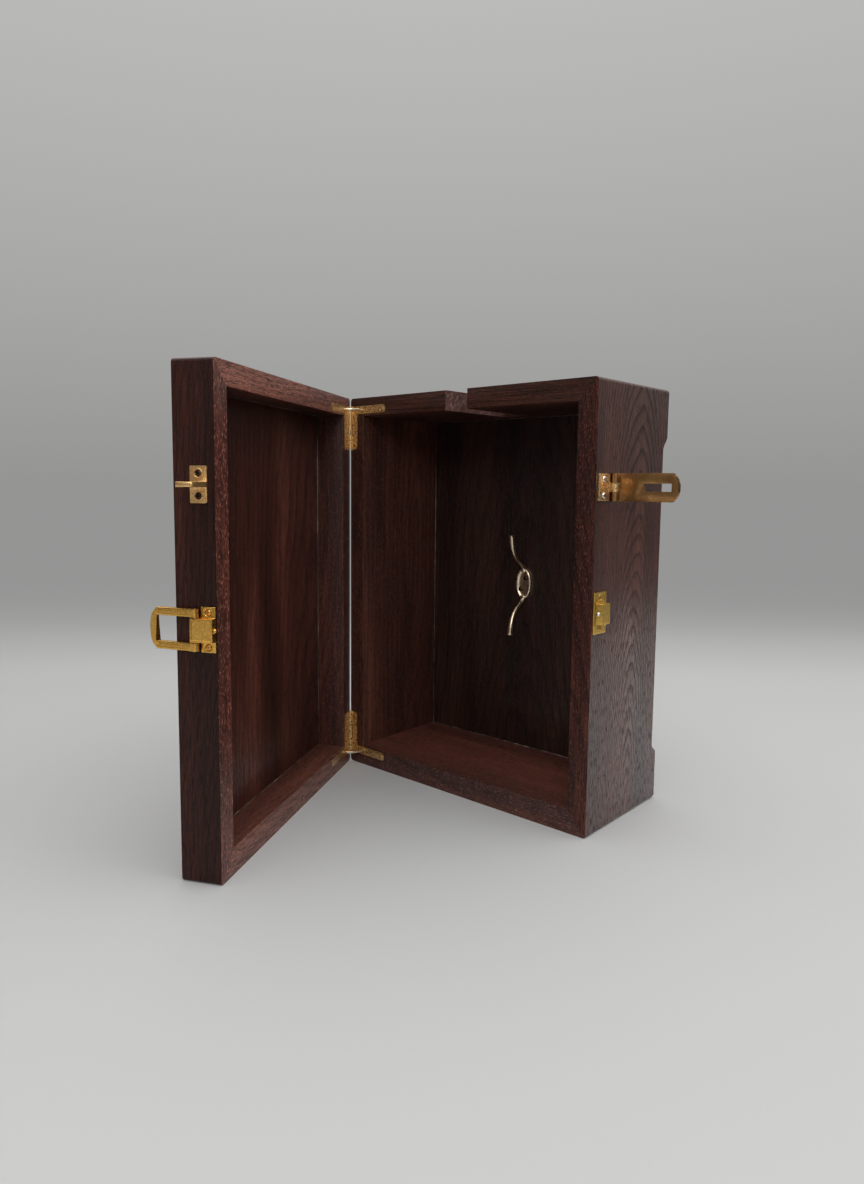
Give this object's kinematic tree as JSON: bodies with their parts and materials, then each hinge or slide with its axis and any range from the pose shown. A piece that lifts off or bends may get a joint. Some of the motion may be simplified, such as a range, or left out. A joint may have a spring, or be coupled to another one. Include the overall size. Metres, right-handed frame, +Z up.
{
  "type": "hinged-door wooden cord case",
  "caption": "Upright stained wooden wall case with a shallow box door on quadrant hinges, a cord slot in the top, a brass cleat inside, a hasp with staple and a loop catch.",
  "frame": {"origin": "centre of the case's flat underside, on the surface it stands on", "axes": "+Z up, front and door towards -Y, hasp side towards +X; the door is stored open 62.5 degrees, hinged at -X"},
  "size_m": [0.294, 0.3209, 0.3],
  "materials": {
    "stained_wood": "dark red-brown stain, open grain, semi-gloss",
    "dark_panel": "near-black brown stain, semi-gloss",
    "aged_brass": "dull, browned",
    "yellow_brass": "satin, handled",
    "polished_brass": "polished, pale",
    "bright_steel": "bright"
  },
  "bodies": {
    "case": {"case_left": "stained_wood", "case_right": "stained_wood", "case_top": "stained_wood", "case_bottom": "stained_wood", "case_back": "dark_panel", "hinge_top_leaf_case": "aged_brass", "hinge_top_pin": "aged_brass", "hinge_bottom_leaf_case": "aged_brass", "hinge_bottom_pin": "aged_brass", "hasp_leaf": "aged_brass", "hasp_pin": "aged_brass", "keeper": "yellow_brass", "keeper_ball": "bright_steel", "cleat": "polished_brass", "hinge_top_case_screw_upright": "aged_brass", "hinge_top_case_screw_level": "aged_brass", "hinge_bottom_case_screw_upright": "aged_brass", "hinge_bottom_case_screw_level": "aged_brass", "hasp_screw_upper": "bright_steel", "hasp_screw_lower": "bright_steel", "keeper_screw_upper": "yellow_brass", "keeper_screw_lower": "yellow_brass", "cleat_screw_upper": "polished_brass", "cleat_screw_lower": "polished_brass"},
    "door": {"door_stile_hinge": "stained_wood", "door_stile_free": "stained_wood", "door_rail_top": "stained_wood", "door_rail_bottom": "stained_wood", "door_panel": "dark_panel", "hinge_top_leaf_door": "aged_brass", "hinge_bottom_leaf_door": "aged_brass", "staple": "aged_brass", "catch_base": "yellow_brass", "catch_loop_pin": "yellow_brass", "hinge_top_door_screw_upright": "aged_brass", "hinge_top_door_screw_level": "aged_brass", "hinge_bottom_door_screw_upright": "aged_brass", "hinge_bottom_door_screw_level": "aged_brass", "staple_screw_upper": "aged_brass", "staple_screw_lower": "aged_brass", "catch_screw_upper": "yellow_brass", "catch_screw_lower": "yellow_brass"},
    "hinge_stays": {"hinge_top_stay": "aged_brass", "hinge_bottom_stay": "aged_brass"},
    "hasp_strap": {"hasp_strap": "aged_brass"},
    "catch_loop": {"catch_loop": "yellow_brass"}
  },
  "joints": [
    {"name": "door_hinge", "type": "hinge", "parent": "case", "child": "door", "pos_m": [-0.1123, -0.05015, 0.15], "axis": [0, 0, 1], "range_deg": [-32.5, 62.5]},
    {"name": "stay_swing", "type": "hinge", "parent": "case", "child": "hinge_stays", "pos_m": [-0.1123, -0.05015, 0.15], "axis": [0, 0, 1], "range_deg": [-16.25, 31.25]},
    {"name": "hasp_hinge", "type": "hinge", "parent": "case", "child": "hasp_strap", "pos_m": [0.1152, -0.03055, 0.231], "axis": [0, 0, 1], "range_deg": [-90, 88]},
    {"name": "loop_hinge", "type": "hinge", "parent": "door", "child": "catch_loop", "pos_m": [-0.01825, -0.25767, 0.15], "axis": [0, 0, 1], "range_deg": [0, 185.5]}
  ],
  "couplings": [
    {"joint": "stay_swing", "follows": "door_hinge", "ratio": 0.5}
  ]
}
